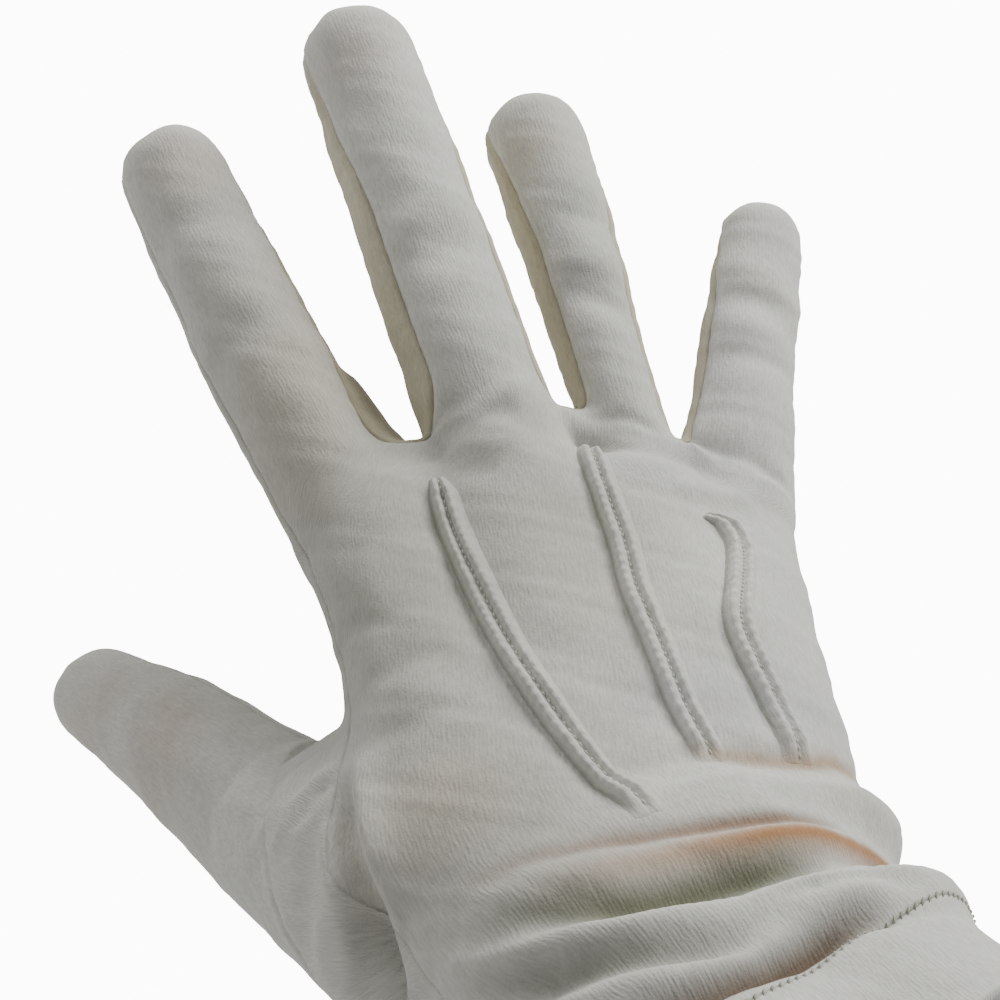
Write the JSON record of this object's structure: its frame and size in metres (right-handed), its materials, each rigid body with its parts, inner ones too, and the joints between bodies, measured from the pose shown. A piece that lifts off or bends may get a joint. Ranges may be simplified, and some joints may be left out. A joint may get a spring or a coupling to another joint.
{
  "type": "white parade glove",
  "caption": "White cotton dress glove for a right hand, spread open, with raised tucks on the back, side strips between the fingers, a set-in thumb and a short hemmed cuff.",
  "frame": {"origin": "centre of the wrist opening, at the hem", "axes": "+Y along the forearm towards the fingers, +Z out of the back of the hand, +X to the little finger side"},
  "size_m": [0.1384, 0.2443, 0.1199],
  "materials": {
    "glove_cloth": "matt off-white cotton jersey",
    "strip_cloth": "matt off-white cotton jersey, slightly yellowed",
    "tuck_cloth": "matt off-white cotton jersey, stitched tuck",
    "hem_cloth": "matt off-white cotton jersey, turned up double"
  },
  "bodies": {
    "root": {"back_panel": "glove_cloth", "palm_panel": "glove_cloth", "fourchette_index_middle": "strip_cloth", "fourchette_middle_ring": "strip_cloth", "fourchette_ring_little": "strip_cloth", "thumb": "glove_cloth", "cuff_hem": "hem_cloth", "point_index": "tuck_cloth", "point_middle": "tuck_cloth", "point_ring": "tuck_cloth"}
  },
  "joints": []
}
